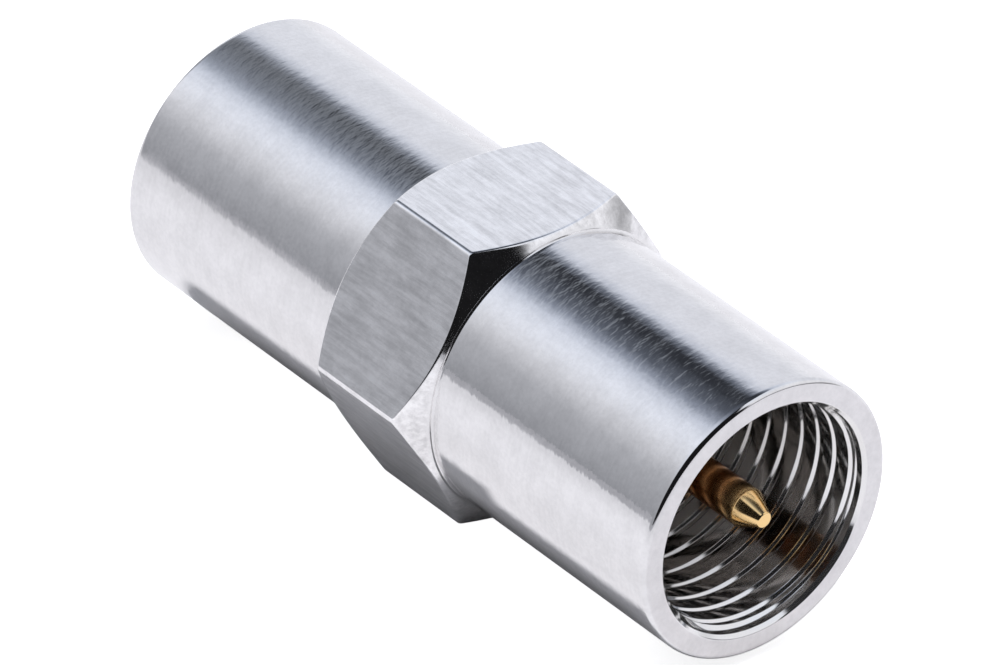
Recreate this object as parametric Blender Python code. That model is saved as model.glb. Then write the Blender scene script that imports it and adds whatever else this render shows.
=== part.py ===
"""Coaxial plug-to-plug adapter: a turned hexagon body with a threaded socket and a centre pin at each end."""

from math import cos, pi, radians, sin, tan

import bmesh
import bpy
from mathutils import Vector

MM = 0.001

# Body, outside
overall_length = 25.3 * MM
barrel_wall = 0.75 * MM
hex_across_flats = 10.0 * MM
hex_length = 5.2 * MM
hex_chamfer_angle = radians(38)
hex_edge_radius = 0.12 * MM
rim_edge_radius = 0.2 * MM

# Body, inside: at each end a socket for this internal thread, bored to the thread's crests
thread_diameter = 8.0 * MM
thread_height = 0.25 * MM
socket_depth = 8.0 * MM
mouth_chamfer = 0.295 * MM
relief_width = 1.0 * MM
relief_depth = 0.3 * MM
insulator_bore_diameter = 4.2 * MM
bore_lead_in = 0.15 * MM
rib_width = 1.0 * MM
rib_height = 0.6 * MM

# Centre contact: one double-ended pin with a collar that the insulators trap
pin_diameter = 1.3 * MM
tip_diameter = 0.5 * MM
tip_length = 0.9 * MM
tip_edge_radius = 0.06 * MM
tip_setback = 0.05 * MM
collar_height = 0.4 * MM

# Clearance between pieces that touch on the real adapter
fit_gap = 0.1 * MM

# Smoothness of the turned surfaces
body_segments = 96
insulator_segments = 64
contact_segments = 48
arc_segments = 3
sharp_angle = radians(25)

half_length = overall_length / 2
barrel_radius = thread_diameter / 2 + barrel_wall
socket_radius = thread_diameter / 2 - thread_height
axis_height = hex_across_flats / 2
hex_corner_radius = axis_height / cos(pi / 6)
floor_x = half_length - socket_depth


def material(name, colour, roughness, metallic):
    """A Principled material with one colour."""
    made = bpy.data.materials.new(name)
    made.use_nodes = True
    shader = made.node_tree.nodes["Principled BSDF"]
    shader.inputs["Base Color"].default_value = (*colour, 1.0)
    shader.inputs["Roughness"].default_value = roughness
    shader.inputs["Metallic"].default_value = metallic
    return made


def rounded_corner(before, corner, after, radius):
    """Points of the arc that rounds a profile's corner with the given radius."""
    corner = Vector(corner)
    to_before = (Vector(before) - corner).normalized()
    to_after = (Vector(after) - corner).normalized()
    half_opening = to_before.angle(to_after) / 2
    centre = corner + (to_before + to_after).normalized() * radius / sin(half_opening)
    reach = radius / tan(half_opening)
    start = corner + to_before * reach - centre
    end = corner + to_after * reach - centre
    spokes = [start.lerp(end, step / arc_segments).normalized() for step in range(arc_segments + 1)]
    return [tuple(centre + spoke * radius) for spoke in spokes]


def mirrored(half_profile):
    """A whole profile from the points of its half at positive x, which run from the middle outwards."""
    other_half = [(-x, radius) for x, radius in reversed(half_profile)]
    return other_half + half_profile


def new_object(name, shape):
    """An object on the adapter's axis that holds the given shape, with its faces turned out."""
    bmesh.ops.recalc_face_normals(shape, faces=shape.faces)
    mesh = bpy.data.meshes.new(name)
    shape.to_mesh(mesh)
    shape.free()
    made = bpy.data.objects.new(name, mesh)
    made.location.z = axis_height
    bpy.context.collection.objects.link(made)
    return made


def turned_object(name, profile, segments, finish, hollow):
    """A solid turned about the adapter's axis from (x, radius) points; a hollow one has a closed profile."""
    shape = bmesh.new()
    points = [shape.verts.new((x, 0.0, radius)) for x, radius in profile]
    pairs = list(zip(points, points[1:]))
    if hollow:
        pairs.append((points[-1], points[0]))
    edges = [shape.edges.new(pair) for pair in pairs]
    bmesh.ops.spin(
        shape,
        geom=points + edges,
        cent=(0.0, 0.0, 0.0),
        axis=(1.0, 0.0, 0.0),
        angle=2 * pi,
        steps=segments,
        use_merge=True,
    )
    if not hollow:
        end_edges = [edge for edge in shape.edges if edge.is_boundary]
        bmesh.ops.holes_fill(shape, edges=end_edges, sides=0)
    made = new_object(name, shape)
    made.data.shade_smooth()
    made.data.set_sharp_from_angle(angle=sharp_angle)
    made.data.materials.append(finish)
    return made


def body_profile():
    """The turned blank's profile, before the hexagon is milled: outside, rim, socket and bore."""
    blank_radius = hex_corner_radius * 1.02
    blank_end = hex_length / 2 - (blank_radius - barrel_radius) * tan(hex_chamfer_angle)
    mouth = (half_length, socket_radius + mouth_chamfer)
    hex_end = (hex_length / 2, barrel_radius)
    relief_radius = socket_radius + relief_depth
    bore_radius = insulator_bore_diameter / 2
    outside = [
        (blank_end, blank_radius),
        hex_end,
        *rounded_corner(hex_end, (half_length, barrel_radius), mouth, rim_edge_radius),
    ]
    socket = [
        mouth,
        (half_length - mouth_chamfer, socket_radius),
        (floor_x + relief_width + relief_depth, socket_radius),
        (floor_x + relief_width, relief_radius),
        (floor_x, relief_radius),
    ]
    bore = [
        (floor_x, bore_radius + bore_lead_in),
        (floor_x - bore_lead_in, bore_radius),
        (rib_width / 2, bore_radius),
        (rib_width / 2, bore_radius - rib_height),
    ]
    return mirrored(outside + socket + bore)


def hexagon_cutter():
    """What milling takes off the blank: a thick ring with a hexagonal hole, its flats up and down."""
    shape = bmesh.new()
    outer_radius = hex_corner_radius * 1.5
    rings = []
    for x in (-hex_length / 2, hex_length / 2):
        for radius in (hex_corner_radius, outer_radius):
            turns = [corner * pi / 3 for corner in range(6)]
            rings.append([shape.verts.new((x, radius * cos(turn), radius * sin(turn))) for turn in turns])
    back_inner, back_outer, front_inner, front_outer = rings
    loop = [back_inner, back_outer, front_outer, front_inner]
    for i in range(6):
        j = (i + 1) % 6
        for ring, next_ring in zip(loop, loop[1:] + loop[:1]):
            shape.faces.new((ring[i], ring[j], next_ring[j], next_ring[i]))
    hex_edges = [shape.edges.get(pair) for pair in zip(back_inner, front_inner)]
    bmesh.ops.bevel(
        shape,
        geom=hex_edges,
        offset=hex_edge_radius,
        offset_type="OFFSET",
        segments=arc_segments,
        profile=0.5,
        affect="EDGES",
    )
    cutter = new_object("hexagon_cutter", shape)
    cutter.hide_render = True
    cutter.display_type = "WIRE"
    return cutter


def make_body(finish):
    """One turned and milled piece: two barrels, the chamfered hexagon and both sockets."""
    body = turned_object("body", body_profile(), body_segments, finish, hollow=True)
    milling = body.modifiers.new("hexagon", "BOOLEAN")
    milling.operation = "DIFFERENCE"
    milling.solver = "EXACT"
    milling.object = hexagon_cutter()


def make_insulators(finish):
    """Two beads that fill the bore from the rib to the socket floors and carry the contact."""
    outer_radius = insulator_bore_diameter / 2 - fit_gap
    inner_radius = pin_diameter / 2 + fit_gap
    inner_end = rib_width / 2 + fit_gap
    for name, side in (("insulator_front", 1), ("insulator_back", -1)):
        profile = [
            (side * inner_end, inner_radius),
            (side * inner_end, outer_radius),
            (side * (floor_x - bore_lead_in), outer_radius),
            (side * floor_x, outer_radius - bore_lead_in),
            (side * floor_x, inner_radius),
        ]
        turned_object(name, profile, insulator_segments, finish, hollow=True)


def make_contact(finish):
    """The gold pin that runs from mouth to mouth, with its collar between the insulators."""
    pin_radius = pin_diameter / 2
    tip_x = half_length - tip_setback
    collar_end = rib_width / 2 - fit_gap
    shoulder = (tip_x - tip_length, pin_radius)
    half_profile = [
        (collar_end, pin_radius + collar_height),
        (collar_end, pin_radius),
        shoulder,
        *rounded_corner(shoulder, (tip_x, tip_diameter / 2), (tip_x, 0.0), tip_edge_radius),
    ]
    turned_object("centre_contact", mirrored(half_profile), contact_segments, finish, hollow=False)


def main():
    for old in list(bpy.data.objects):
        bpy.data.objects.remove(old, do_unlink=True)
    make_body(material("nickel_plate", (0.80, 0.80, 0.82), 0.18, 1.0))
    make_insulators(material("white_insulator", (0.86, 0.86, 0.84), 0.45, 0.0))
    make_contact(material("gold_plate", (0.90, 0.62, 0.28), 0.2, 1.0))


main()
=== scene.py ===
"""Looks of the coaxial adapter: bright body with threaded sockets, gold contact, white insulators."""

from itertools import product
from math import atan, cos, hypot, pi, radians, sin, tan

import bmesh
import bpy
from mathutils import Matrix, Vector


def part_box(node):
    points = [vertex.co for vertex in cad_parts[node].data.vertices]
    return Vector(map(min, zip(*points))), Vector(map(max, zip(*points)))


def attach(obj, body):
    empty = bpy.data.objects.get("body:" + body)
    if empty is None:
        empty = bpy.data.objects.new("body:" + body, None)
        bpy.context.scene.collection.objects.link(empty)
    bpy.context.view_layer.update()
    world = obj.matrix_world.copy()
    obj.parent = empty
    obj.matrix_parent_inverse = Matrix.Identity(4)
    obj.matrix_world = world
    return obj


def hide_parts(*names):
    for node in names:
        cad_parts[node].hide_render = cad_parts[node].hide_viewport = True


MM = 0.001

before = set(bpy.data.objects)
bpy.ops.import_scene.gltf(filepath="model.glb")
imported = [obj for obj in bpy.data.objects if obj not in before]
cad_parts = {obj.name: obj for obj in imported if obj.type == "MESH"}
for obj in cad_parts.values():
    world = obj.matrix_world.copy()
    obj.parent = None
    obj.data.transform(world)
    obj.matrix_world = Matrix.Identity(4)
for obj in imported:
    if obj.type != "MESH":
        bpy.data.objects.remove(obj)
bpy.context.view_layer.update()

# Sizes read from the frame
body_low, body_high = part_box("body")
half_length = body_high.x
axis_height = (body_high.z + body_low.z) / 2
apothem = (body_high.z - body_low.z) / 2
floor_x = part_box("insulator_front")[1].x
tip_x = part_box("centre_contact")[1].x

# Sizes of the body that the frame's boxes don't give
barrel_radius = 4.75 * MM
hex_length = 5.2 * MM
hex_chamfer_angle = radians(38)
hex_edge_radius = 0.208 * MM
arris_radius = 0.13 * MM
foot_height = 0.08 * MM
foot_fillet = 0.08 * MM
rim_edge_radius = 0.2 * MM
thread_diameter = 8.0 * MM
thread_pitch = 0.75 * MM
thread_height = 0.25 * MM
thread_depth = 0.1 * MM
thread_root = 0.14 * MM
thread_flank = 0.095 * MM
thread_start = 0.075 * MM
mouth_chamfer = 0.295 * MM
mouth_edge = 0.13 * MM
mouth_edge_radius = 0.11 * MM
mouth_step = 0.36 * MM
relief_width = 1.0 * MM
relief_depth = 0.3 * MM
insulator_bore_radius = 2.1 * MM
bore_lead_in = 0.15 * MM
rib_width = 1.0 * MM
rib_height = 0.6 * MM
socket_radius = thread_diameter / 2 - thread_height
mouth_radius = socket_radius + mouth_chamfer
lead_in_x = half_length - mouth_edge
lead_in_radius = mouth_radius - mouth_edge

# Sizes of the contact
pin_radius = 0.65 * MM
tip_radius = 0.25 * MM
tip_length = 0.82 * MM
tip_edge_radius = 0.06 * MM
shoulder_radius = 0.14 * MM
collar_radius = 1.05 * MM
collar_end = 0.4 * MM

# Fineness of the turned surfaces: the columns of faces, in degrees from each corner of the hexagon, and how
# far off a rounded corner its guard points lie, which keep the straight parts beside it evenly shaded
column_step = 2
corner_steps = (0.0, 0.28, 0.54, 0.8, 1.043, 1.15)
contact_columns = 96
flank_steps = 4
arc_steps = 5
small_arc_steps = 3
tip_arc_steps = 4
guard = 0.015 * MM
wall_blend = 0.012 * MM
merge_distance = 0.0002 * MM
degenerate_length = 0.00001 * MM
sharp_angle = radians(28)
cad_sharp_angle = radians(25)

# Colours of the materials
WHITE = (1.0, 1.0, 1.0, 1.0)
BLACK = (0.0, 0.0, 0.0, 1.0)
plate_colour = (0.83, 0.82, 0.82, 1.0)
rim_face_colour = (0.75, 0.735, 0.74, 1.0)
socket_colour = (0.86, 0.85, 0.84, 1.0)
# Partly duller plating, partly painted shade: the socket's wall darkens towards this colour deeper in
duller_and_shaded_socket_colour = (0.4, 0.38, 0.36, 1.0)
gold_colour = (0.97, 0.68, 0.32, 1.0)
# Painted shade: the pin turns this brown deeper in the socket
shaded_gold_colour = (0.5, 0.24, 0.09, 1.0)
plastic_colours = ((0.87, 0.87, 0.855, 1.0), (0.83, 0.83, 0.805, 1.0))
# Floor colours with painted light: brighter near the adapter, darker far out, and a dark band far out on the
# -Y side
painted_light_pool_colour = (0.84, 0.833, 0.83, 1.0)
painted_falloff_colours = ((0.69, 0.685, 0.685, 1.0), (0.79, 0.785, 0.785, 1.0))
dim_far_band_colour = (0.38, 0.38, 0.39, 1.0)
low_light_tint = (0.99, 1.0, 1.05, 1.0)
high_light_tint = (0.955, 1.0, 1.1, 1.0)
lifted_slot_colour = (0.96, 1.0, 1.03, 1.0)
room_fill_colour = (0.01, 0.01, 0.011, 1.0)


def rounded_corner(before, corner, after, radius, steps=arc_steps):
    """Points of the arc that rounds a profile's corner, and a guard point on each side of it."""
    corner = Vector(corner)
    to_before = (Vector(before) - corner).normalized()
    to_after = (Vector(after) - corner).normalized()
    half_opening = to_before.angle(to_after) / 2
    centre = corner + (to_before + to_after).normalized() * radius / sin(half_opening)
    reach = radius / tan(half_opening)
    start = corner + to_before * reach
    end = corner + to_after * reach
    first_spoke = (start - centre).normalized()
    last_spoke = (end - centre).normalized()
    spokes = [first_spoke.slerp(last_spoke, step / steps).normalized() for step in range(steps + 1)]
    arc = [tuple(centre + spoke * radius) for spoke in spokes]
    return [tuple(start + to_before * guard), *arc, tuple(end + to_after * guard)]


def column_angles():
    """Angles of the columns of faces once round the axis, closer together at the hexagon's edges."""
    angles = []
    for corner in range(0, 360, 60):
        for step in corner_steps:
            angles.append(corner + step)
            angles.append(corner - step)
        angles.extend(corner + step for step in range(column_step, 60, column_step))
    return sorted({radians(angle % 360) for angle in angles}) + [2 * pi]


def hexagon_radius(angle):
    """Distance from the axis to the hexagon's surface, with its six edges rounded; corners at +Y and -Y."""
    from_flat = abs((angle % (pi / 3)) - pi / 6)
    edge_centre = (apothem - hex_edge_radius) / cos(pi / 6)
    edge_start = atan((apothem - hex_edge_radius) * tan(pi / 6) / apothem)
    if from_flat <= edge_start:
        return apothem / cos(from_flat)
    from_corner = pi / 6 - from_flat
    across = edge_centre * sin(from_corner)
    return edge_centre * cos(from_corner) + (hex_edge_radius**2 - across**2) ** 0.5


def thread_places():
    """Distances along one pitch, from the middle of a groove, at which the thread's wall has its points."""
    flank = [thread_root / 2 + thread_flank * step / flank_steps for step in range(flank_steps + 1)]
    half = [flank[0] - guard, *flank, flank[-1] + guard]
    return half + [thread_pitch - place for place in reversed(half)]


def thread_radius(place):
    """Radius of the internal thread's wall at a distance along one pitch from the middle of a groove."""
    from_groove = min(place, thread_pitch - place)
    share = min(max((from_groove - thread_root / 2) / thread_flank, 0.0), 1.0)
    return socket_radius + thread_depth * (1 - share)


def soft_maximum(first, second):
    """The larger of two radii, with the corner between them blended."""
    return (first + second + hypot(first - second, wall_blend)) / 2


def mirrored(half_profile):
    """A whole profile from its half at positive x."""
    return [(-x, radius) for x, radius in reversed(half_profile)] + half_profile


def outside_profile(angle):
    """The outside at an angle round the axis, from the back rim's inner edge to the front rim's."""
    hexagon = hexagon_radius(angle)
    arris = (hex_length / 2 - (hexagon - barrel_radius) * tan(hex_chamfer_angle), hexagon)
    foot = (hex_length / 2 - foot_height * tan(hex_chamfer_angle), barrel_radius + foot_height)
    hex_end = (foot[0], barrel_radius)
    rim = (half_length, barrel_radius)
    mouth = (half_length, mouth_radius)
    lead_in = (lead_in_x, lead_in_radius)
    half = [
        *rounded_corner((0.0, hexagon), arris, foot, arris_radius),
        foot,
        *rounded_corner(foot, hex_end, rim, foot_fillet, small_arc_steps),
        *rounded_corner(hex_end, rim, mouth, rim_edge_radius),
        *rounded_corner(rim, mouth, lead_in, mouth_edge_radius, small_arc_steps),
        lead_in,
    ]
    return mirrored(half)


def bore_profile(angle):
    """The bore from one socket's floor to the other's, with its inner rib: the same at each angle."""
    relief_radius = socket_radius + relief_depth
    half = [
        (rib_width / 2, insulator_bore_radius - rib_height),
        (rib_width / 2, insulator_bore_radius),
        (floor_x - bore_lead_in, insulator_bore_radius),
        (floor_x, insulator_bore_radius + bore_lead_in),
        (floor_x, relief_radius),
    ]
    return mirrored(half)


def socket_profile(angle):
    """The front socket's wall from its floor to its lead-in: the thread's turns move on with the angle."""
    relief_radius = socket_radius + relief_depth
    turns = range(-2, int((half_length - floor_x) / thread_pitch) + 2)
    first_groove = floor_x + thread_start + thread_pitch * angle / (2 * pi)
    places = [first_groove + turn * thread_pitch + place for turn, place in product(turns, thread_places())]
    step_x = half_length - mouth_step
    step_end_x = step_x - (lead_in_radius - socket_radius)
    places.append(lead_in_x - guard)
    for x in (step_x, step_end_x):
        places.extend((x - guard, x + guard))
    wall = []
    for x in sorted(min(max(place, floor_x), lead_in_x) for place in places):
        thread = thread_radius((x - first_groove) % thread_pitch)
        step = lead_in_radius - max(step_x - x, 0.0)
        relief = relief_radius - max(x - floor_x - relief_width, 0.0)
        radius = soft_maximum(soft_maximum(thread, step), relief)
        if x == lead_in_x:
            radius = lead_in_radius
        if x == floor_x:
            radius = relief_radius
        wall.append((x, radius))
    return wall


def turned_surface(shape, profile_at, angles, side=1):
    """Adds a surface whose profile of (x, radius) points is given at each angle round the adapter's axis."""
    columns = []
    for angle in angles:
        y = side * cos(angle)
        z = sin(angle)
        points = [(side * x, radius * y, axis_height + radius * z) for x, radius in profile_at(angle)]
        columns.append([shape.verts.new(point) for point in points])
    for column, next_column in zip(columns, columns[1:]):
        for row in range(len(column) - 1):
            shape.faces.new((column[row], column[row + 1], next_column[row + 1], next_column[row]))


def object_from(shape, name):
    """An object that holds the given shape."""
    mesh = bpy.data.meshes.new(name)
    shape.to_mesh(mesh)
    shape.free()
    made = bpy.data.objects.new(name, mesh)
    bpy.context.scene.collection.objects.link(made)
    return made


def closed_object(shape, name):
    """An object that holds the given closed shape, with doubled points merged and its faces turned out."""
    bmesh.ops.remove_doubles(shape, verts=shape.verts, dist=merge_distance)
    bmesh.ops.dissolve_degenerate(shape, edges=shape.edges, dist=degenerate_length)
    bmesh.ops.recalc_face_normals(shape, faces=shape.faces)
    made = object_from(shape, name)
    made.data.shade_smooth()
    made.data.set_sharp_from_angle(angle=sharp_angle)
    return made


def in_threaded_wall(point):
    """Whether a point lies on a socket's wall, between its floor and its mouth."""
    from_axis = hypot(point.y, point.z - axis_height)
    between = floor_x + guard < abs(point.x) < lead_in_x - 0.1 * guard
    return between and from_axis < mouth_radius + 2 * guard


def smooth_threads(body):
    """Takes the sharp edges off the threaded walls, which are smooth all over."""
    sharp = body.data.attributes["sharp_edge"].data
    vertices = body.data.vertices
    for edge in body.data.edges:
        if any(in_threaded_wall(vertices[index].co) for index in edge.vertices):
            sharp[edge.index].value = False


def make_body():
    """The plated body in one piece, with its two threaded sockets and the chamfered hexagon."""
    shape = bmesh.new()
    angles = column_angles()
    turned_surface(shape, outside_profile, angles)
    turned_surface(shape, bore_profile, angles)
    turned_surface(shape, socket_profile, angles)
    turned_surface(shape, socket_profile, angles, side=-1)
    body = closed_object(shape, "threaded_body")
    smooth_threads(body)
    return body


def contact_profile(angle):
    """The pin from tip to tip, with the collar that the insulators trap: the same at each angle."""
    shoulder = (tip_x - tip_length, pin_radius)
    tip = (tip_x, tip_radius)
    half = [
        (collar_end, collar_radius),
        (collar_end, pin_radius),
        *rounded_corner((collar_end, pin_radius), shoulder, tip, shoulder_radius, small_arc_steps),
        *rounded_corner(shoulder, tip, (tip_x, 0.0), tip_edge_radius, tip_arc_steps),
        (tip_x, 0.0),
    ]
    return mirrored(half)


def make_contact():
    """The gold pin that runs from mouth to mouth."""
    shape = bmesh.new()
    angles = [2 * pi * column / contact_columns for column in range(contact_columns + 1)]
    turned_surface(shape, contact_profile, angles)
    return closed_object(shape, "pin")


class Nodes:
    """Adds nodes to a tree in few words."""

    def __init__(self, tree):
        self.tree = tree

    def add(self, kind, inputs=(), **settings):
        """A node with its settings, and its inputs set to values or linked to sockets."""
        node = self.tree.nodes.new(kind)
        for name, value in settings.items():
            setattr(node, name, value)
        for key, value in dict(inputs).items():
            if isinstance(value, bpy.types.NodeSocket):
                self.link(value, node.inputs[key])
            else:
                node.inputs[key].default_value = value
        return node

    def math(self, operation, first, second=0.0):
        """The result of a sum on two numbers."""
        return self.add("ShaderNodeMath", {0: first, 1: second}, operation=operation).outputs[0]

    def hypotenuse(self, first, second):
        """The square root of the sum of the squares of two numbers."""
        squares = [self.math("MULTIPLY", side, side) for side in (first, second)]
        return self.math("POWER", self.math("ADD", *squares), 0.5)

    def step(self, value, low, high, to_low=0.0, to_high=1.0):
        """A smooth step of a value from to_low at low to to_high at high."""
        inputs = {"Value": value, "From Min": low, "From Max": high, "To Min": to_low, "To Max": to_high}
        return self.add("ShaderNodeMapRange", inputs, interpolation_type="SMOOTHSTEP").outputs["Result"]

    def scaled(self, vector, scales):
        """A vector with each part multiplied by its scale."""
        return self.add("ShaderNodeVectorMath", {0: vector, 1: scales}, operation="MULTIPLY").outputs[0]

    def grey(self, brightness):
        """The grey of a brightness."""
        return self.add("ShaderNodeCombineColor", {0: brightness, 1: brightness, 2: brightness}).outputs[0]

    def bump(self, height, distance):
        """The normal of a surface raised by a height between 0 and 1 times a distance."""
        inputs = {"Height": height, "Strength": 1.0, "Distance": distance}
        return self.add("ShaderNodeBump", inputs).outputs[0]

    def link(self, value, target):
        """A link from an output to an input."""
        self.tree.links.new(value, target)

    def mix(self, share, first, second):
        """A mix of two numbers."""
        return self.add("ShaderNodeMix", {0: share, 2: first, 3: second}, data_type="FLOAT").outputs[0]

    def mix_colour(self, share, first, second, blend="MIX"):
        """A mix of two colours."""
        inputs = {0: share, 6: first, 7: second}
        return self.add("ShaderNodeMix", inputs, data_type="RGBA", blend_type=blend).outputs[2]

    def noise(self, place, scale, detail=2.0, roughness=0.5):
        """Noise between 0 and 1 at a place."""
        inputs = {"Vector": place, "Scale": scale, "Detail": detail, "Roughness": roughness}
        return self.add("ShaderNodeTexNoise", inputs).outputs[0]


def new_material(name):
    """A material, its Principled shader and a helper that adds nodes to it."""
    made = bpy.data.materials.new(name)
    made.use_nodes = True
    return made, made.node_tree.nodes["Principled BSDF"], Nodes(made.node_tree)


def place_in_mm(n):
    """A point's place in millimetres, and its three parts, of which the last counts from the axis."""
    place = n.add("ShaderNodeTexCoord").outputs["Object"]
    in_mm = n.add("ShaderNodeVectorMath", {0: place, 3: 1 / MM}, operation="SCALE").outputs[0]
    parts = n.add("ShaderNodeSeparateXYZ", {0: in_mm}).outputs
    return in_mm, parts["X"], parts["Y"], n.math("SUBTRACT", parts["Z"], axis_height / MM)


def nickel():
    """Bright nickel plate with turning lines round the barrels and milling lines along the flats."""
    made, shader, n = new_material("nickel_plate")
    in_mm, x, y, z = place_in_mm(n)
    turn = n.math("ARCTAN2", z, y)
    out = n.hypotenuse(y, z)
    on_hexagon = n.step(out, barrel_radius / MM + 0.06, barrel_radius / MM + 0.2)
    depth = n.math("SUBTRACT", half_length / MM, n.math("ABSOLUTE", x))
    within = n.step(out, mouth_radius / MM, mouth_radius / MM + 0.02, 1.0, 0.0)
    in_socket = n.math("MULTIPLY", within, n.step(depth, 0.0, 0.03))

    # Textures: turning lines, milling lines, mottling, specks and fine grain
    around = {0: n.math("MULTIPLY", x, 9.0), 1: n.math("MULTIPLY", turn, 1.5), 2: out}
    turning_place = n.add("ShaderNodeCombineXYZ", around).outputs[0]
    turning = n.noise(turning_place, 1.0, 2.0, 0.5)
    milling = n.noise(n.scaled(in_mm, (0.55, 4.2, 4.2)), 1.0, 5.0, 0.7)
    lines = n.mix(on_hexagon, turning, milling)
    mottle = n.noise(in_mm, 1.1, 3.0, 0.6)
    specks = n.noise(n.scaled(in_mm, (3.6, 1.6, 1.6)), 1.0, 2.0, 0.6)
    grain = n.noise(in_mm, 7.0, 2.0, 0.6)

    # Colour: the textures on the outside, and darker deeper in the sockets: partly duller plating, partly
    # painted shade of the deep recess
    drawn = n.math("MULTIPLY", n.step(lines, 0.3, 0.7, -0.04, 0.03), n.mix(on_hexagon, 0.4, 4.0))
    mottled = n.math("MULTIPLY", n.step(mottle, 0.3, 0.7, -0.03, 0.02), n.mix(on_hexagon, 1.6, 2.6))
    texture = n.math("ADD", n.math("ADD", drawn, mottled), n.step(grain, 0.3, 0.7, 0.95, 1.01))
    # Painted light: the hexagon's plate is a tenth brighter than the barrels' to lift its flats' reflections
    brightness = n.math("MULTIPLY", texture, n.mix(on_hexagon, 1.0, 1.1))
    clean = n.mix_colour(n.step(depth, 0.01, 0.05), rim_face_colour, plate_colour)
    plate = n.mix_colour(1.0, clean, n.grey(brightness), "MULTIPLY")
    # Partly duller plating, partly painted shade: darker from 0.5 mm to 6.5 mm deep in the socket
    inside = n.mix_colour(n.step(depth, 0.5, 6.5), socket_colour, duller_and_shaded_socket_colour)
    colour = n.mix_colour(in_socket, plate, inside)
    n.link(colour, shader.inputs["Base Color"])
    n.link(n.mix(in_socket, 1.0, 0.96), shader.inputs["Metallic"])

    # Gloss: duller on the far barrel and on the flats
    far = n.step(x, -12.0, 7.0, 0.13, 0.07)
    on_flat = n.math("MULTIPLY", on_hexagon, 0.03)
    rough = n.math("ADD", n.math("ADD", far, on_flat), n.step(mottle, 0.35, 0.7, -0.02, 0.03))
    n.link(n.mix(in_socket, rough, 0.08), shader.inputs["Roughness"])

    # Bump: specks and lines, weaker on the flats and on the rim's face, none in the sockets
    relief = n.math("ADD", specks, n.math("MULTIPLY", lines, 0.08))
    outside = n.math("MULTIPLY", n.math("SUBTRACT", 1.0, in_socket), n.step(depth, 0.0, 0.3, 0.12, 1.0))
    height = n.math("MULTIPLY", n.math("MULTIPLY", relief, outside), n.mix(on_hexagon, 1.0, 0.3))
    n.link(n.bump(height, 0.006 * MM), shader.inputs["Normal"])
    return made


def gold():
    """Polished gold plate, with painted shade that turns it brown deeper in the socket, and faint turning
    lines.
    """
    made, shader, n = new_material("gold_plate")
    x = place_in_mm(n)[1]
    depth = n.math("SUBTRACT", half_length / MM, n.math("ABSOLUTE", x))
    # Painted shade: brown from 0.7 mm to 1.8 mm deep in the socket
    painted_shade = n.step(depth, 0.7, 1.8)
    n.link(n.mix_colour(painted_shade, gold_colour, shaded_gold_colour), shader.inputs["Base Color"])
    shader.inputs["Metallic"].default_value = 1.0
    lines = n.noise(n.add("ShaderNodeCombineXYZ", {0: x}).outputs[0], 7.0, 2.0, 0.6)
    n.link(n.step(lines, 0.3, 0.7, 0.1, 0.15), shader.inputs["Roughness"])
    return made


def white_plastic():
    """White machined plastic of the insulators, with faint rings from turning."""
    made, shader, n = new_material("white_insulator")
    in_mm, x, y, z = place_in_mm(n)
    ring_place = n.add("ShaderNodeCombineXYZ", {0: x, 1: n.hypotenuse(y, z)}).outputs[0]
    rings = n.noise(ring_place, 9.0, 2.0, 0.5)
    cloud = n.noise(in_mm, 1.5, 3.0, 0.6)
    n.link(n.mix_colour(cloud, *plastic_colours), shader.inputs["Base Color"])
    n.link(n.step(rings, 0.3, 0.7, 0.4, 0.52), shader.inputs["Roughness"])
    n.link(n.bump(rings, 0.004 * MM), shader.inputs["Normal"])
    return made


def dress(node, finish):
    """Gives a CAD node its finish and smooth shading with its edges kept, without touching its mesh."""
    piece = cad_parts[node]
    piece.data.materials.clear()
    piece.data.materials.append(finish)
    piece.data.shade_smooth()
    weld = piece.modifiers.new("weld", "WELD")
    weld.merge_threshold = 0.001 * MM
    split = piece.modifiers.new("edges", "EDGE_SPLIT")
    split.split_angle = cad_sharp_angle


# Brightness of the tent at angles round the adapter's axis, in degrees: 0 at +Y, 90 overhead, 180 at -Y
tent_brightness = (
    (0, 0.96),
    (14, 0.85),
    (24, 0.82),
    (46, 0.82),
    (54, 0.66),
    (60, 0.18),
    (66, 0.025),
    (73, 0.03),
    (87, 0.12),
    (95, 0.31),
    (102, 0.68),
    (110, 0.85),
    (118, 0.92),
    (130, 0.82),
    (142, 0.63),
    (152, 0.48),
    (166, 0.41),
    (180, 0.34),
)


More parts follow.
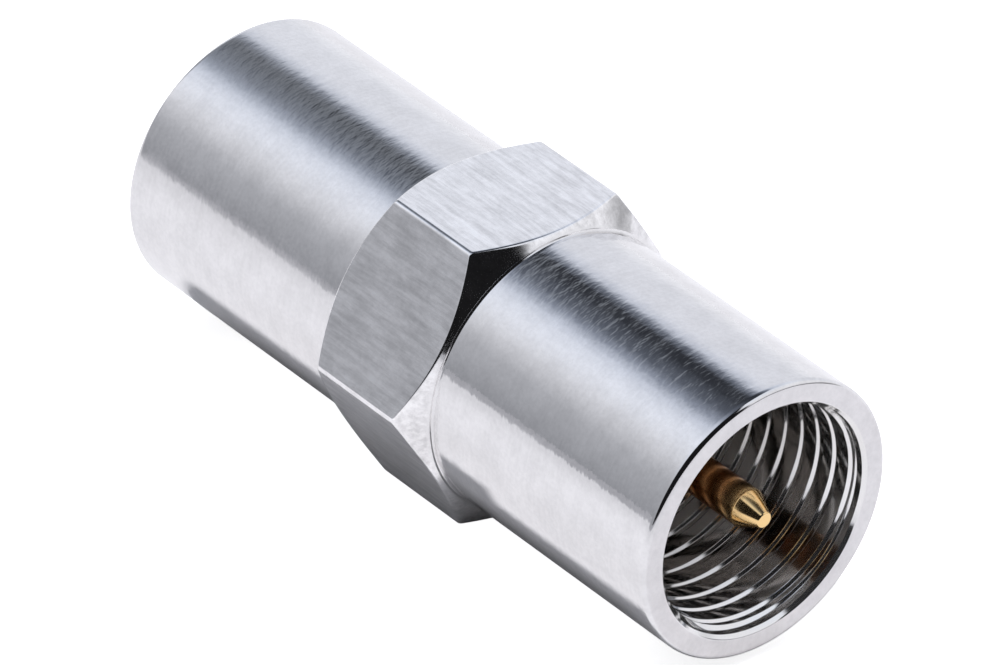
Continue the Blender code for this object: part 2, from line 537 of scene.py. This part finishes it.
def make_world():
    """A white tent behind the adapter with a dark slot along its top, and a dark room in front of it."""
    world = bpy.data.worlds.new("studio")
    bpy.context.scene.world = world
    world.use_nodes = True
    tree = world.node_tree
    tree.nodes.clear()
    n = Nodes(tree)
    direction = n.add("ShaderNodeTexCoord").outputs["Generated"]
    parts = n.add("ShaderNodeSeparateXYZ", {0: direction}).outputs

    # The tent, by the turn round the adapter's axis, with its slot a little lifted towards the far end
    turn = n.math("ABSOLUTE", n.math("ARCTAN2", parts["Z"], parts["Y"]))
    ramp = n.add("ShaderNodeValToRGB", {0: n.math("DIVIDE", turn, pi)})
    ramp.color_ramp.interpolation = "LINEAR"
    stops = ramp.color_ramp.elements
    stops[0].position = 0.0
    stops[1].position = 1.0
    for angle, _ in tent_brightness[1:-1]:
        stops.new(angle / 180)
    for stop, (angle, brightness) in zip(stops, tent_brightness):
        dark = (1 - brightness) * (1.0 if angle < 125 else 0.3)
        stop.color = (brightness * (1 - 0.1 * dark), brightness, brightness * (1 + 0.2 * dark), 1.0)
    beside = n.step(turn, radians(100), radians(130), 1.0, 0.0)
    lift = n.math("MULTIPLY", n.step(parts["X"], -0.655, -0.625, 0.19, 0.0), beside)
    tent = n.mix_colour(lift, ramp.outputs[0], lifted_slot_colour)

    # The room in front, dark but for a pale wall on the +Y side
    side_wall = n.step(parts["Y"], 0.16, 0.24, 0.0, 0.9)
    ceiling = n.step(parts["Z"], 0.8, 0.95, 0.0, 0.28)
    in_room = n.step(n.math("SUBTRACT", parts["X"], ceiling), 0.05, 0.17)
    both = n.mix_colour(in_room, tent, n.grey(side_wall))

    # Shades: low down in front, and a dark disc that the socket faces
    low = n.step(parts["Z"], 0.04, 0.26, 0.8, 0.0)
    in_front = n.step(parts["X"], 0.05, 0.5)
    above_low = n.math("SUBTRACT", 1.0, n.math("MULTIPLY", in_front, low))
    inputs = {0: direction, 1: Vector((0.951, -0.168, 0.259)).normalized()}
    towards_disc = n.add("ShaderNodeVectorMath", inputs, operation="DOT_PRODUCT").outputs["Value"]
    off_disc = n.step(n.math("ARCCOSINE", towards_disc), radians(31), radians(34))
    shades = n.grey(n.math("MULTIPLY", above_low, off_disc))

    # Tint, a little fill light, and plain white for the camera
    high = n.step(parts["Z"], 0.45, 0.8)
    tint = n.mix_colour(high, low_light_tint, high_light_tint)
    light = n.mix_colour(1.0, n.mix_colour(1.0, both, shades, "MULTIPLY"), tint, "MULTIPLY")
    filled = n.mix_colour(1.0, light, room_fill_colour, "ADD")
    camera_ray = n.add("ShaderNodeLightPath").outputs["Is Camera Ray"]
    seen = n.mix_colour(camera_ray, filled, WHITE)
    background = n.add("ShaderNodeBackground", {"Color": seen, "Strength": 1.0})
    n.add("ShaderNodeOutputWorld", {"Surface": background.outputs[0]})


def make_floor():
    """A pale floor with painted light: brighter near the adapter, darker far out and in a dark band on the
    -Y side, with a painted shadow right under the adapter; it shows white to the camera and keeps the
    shadow.
    """
    shape = bmesh.new()
    bmesh.ops.create_circle(shape, cap_ends=True, segments=64, radius=1.5)
    floor = object_from(shape, "floor")
    made = bpy.data.materials.new("floor")
    made.use_nodes = True
    made.node_tree.nodes.clear()
    n = Nodes(made.node_tree)
    camera_ray = n.add("ShaderNodeLightPath").outputs["Is Camera Ray"]
    place = n.add("ShaderNodeTexCoord").outputs["Object"]
    away = n.add("ShaderNodeVectorMath", {0: place}, operation="LENGTH").outputs["Value"]
    parts = n.add("ShaderNodeSeparateXYZ", {0: place}).outputs
    y = parts["Y"]
    # Painted light: the floor is brightest near the adapter and darker far out, more so on the -Y side
    far = n.mix_colour(n.step(y, -10 * MM, 30 * MM), *painted_falloff_colours)
    painted_light_pool = n.mix_colour(n.step(away, 8 * MM, 60 * MM), painted_light_pool_colour, far)
    # Painted shadow: the floor is darker right under the adapter
    under_x = n.step(n.math("ABSOLUTE", parts["X"]), 8 * MM, 12 * MM, 1.0, 0.0)
    under_y = n.step(n.math("ABSOLUTE", y), 3 * MM, 4.6 * MM, 0.4, 0.0)
    under = n.math("MULTIPLY", under_x, under_y)
    painted_shadow_floor = n.mix_colour(under, painted_light_pool, BLACK)
    # Painted shade: a dark band far out on the -Y side, as dim as the tent's low side
    dim_far_band = n.step(y, -90 * MM, -66 * MM, 1.0, 0.0)
    colour = n.mix_colour(dim_far_band, painted_shadow_floor, dim_far_band_colour)
    diffuse = n.add("ShaderNodeBsdfDiffuse", {"Color": colour})
    # The camera sees white over it all, the painted shadow and the dark band too
    whiter = n.mix(dim_far_band, n.math("ADD", 0.75, n.math("MULTIPLY", under, 0.6)), 1.0)
    strength = n.math("MULTIPLY", camera_ray, whiter)
    glow = n.add("ShaderNodeEmission", {"Color": WHITE, "Strength": strength})
    both = n.add("ShaderNodeAddShader", {0: diffuse.outputs[0], 1: glow.outputs[0]})
    n.add("ShaderNodeOutputMaterial", {"Surface": both.outputs[0]})
    floor.data.materials.append(made)


def make_lamp():
    """A soft lamp straight above the adapter, which lights the floor round it."""
    data = bpy.data.lights.new("lamp", "SUN")
    data.angle = radians(9)
    data.color = (0.98, 0.97, 1.0)
    data.energy = 2.4
    lamp = bpy.data.objects.new("lamp", data)
    lamp.location = (0.0, 0.0, 0.2)
    lamp.visible_glossy = False
    bpy.context.scene.collection.objects.link(lamp)


def make_camera():
    """The photograph's view: a long lens from the front right, looking down on the adapter."""
    azimuth = radians(-40.56)
    elevation = radians(33.653)
    roll = radians(-2.465)
    distance = 332.94 * MM
    focal_pixels = 10812.7
    frame_width = 1000
    data = bpy.data.cameras.new("camera")
    data.sensor_width = 36.0
    data.lens = focal_pixels / frame_width * data.sensor_width
    data.clip_start = 0.01
    camera = bpy.data.objects.new("camera", data)
    bpy.context.scene.collection.objects.link(camera)
    bpy.context.scene.camera = camera
    outward = Vector((cos(elevation) * cos(azimuth), cos(elevation) * sin(azimuth), sin(elevation)))
    right = Vector((0.0, 0.0, 1.0)).cross(outward).normalized()
    up = outward.cross(right)
    turned = Matrix.Rotation(-roll, 3, outward)
    axes = Matrix((turned @ right, turned @ up, outward)).transposed()
    aim = Vector((-0.0041 * MM, -0.0034 * MM, axis_height + 0.0013 * MM))
    camera.matrix_world = Matrix.Translation(aim + outward * distance) @ axes.to_4x4()


body = make_body()
body.data.materials.append(nickel())
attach(body, "root")
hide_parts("body")
contact = make_contact()
contact.data.materials.append(gold())
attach(contact, "root")
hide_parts("centre_contact")
insulator_finish = white_plastic()
for node in ("insulator_front", "insulator_back"):
    dress(node, insulator_finish)
make_world()
make_floor()
make_lamp()
make_camera()
bpy.context.scene.view_settings.view_transform = "Standard"
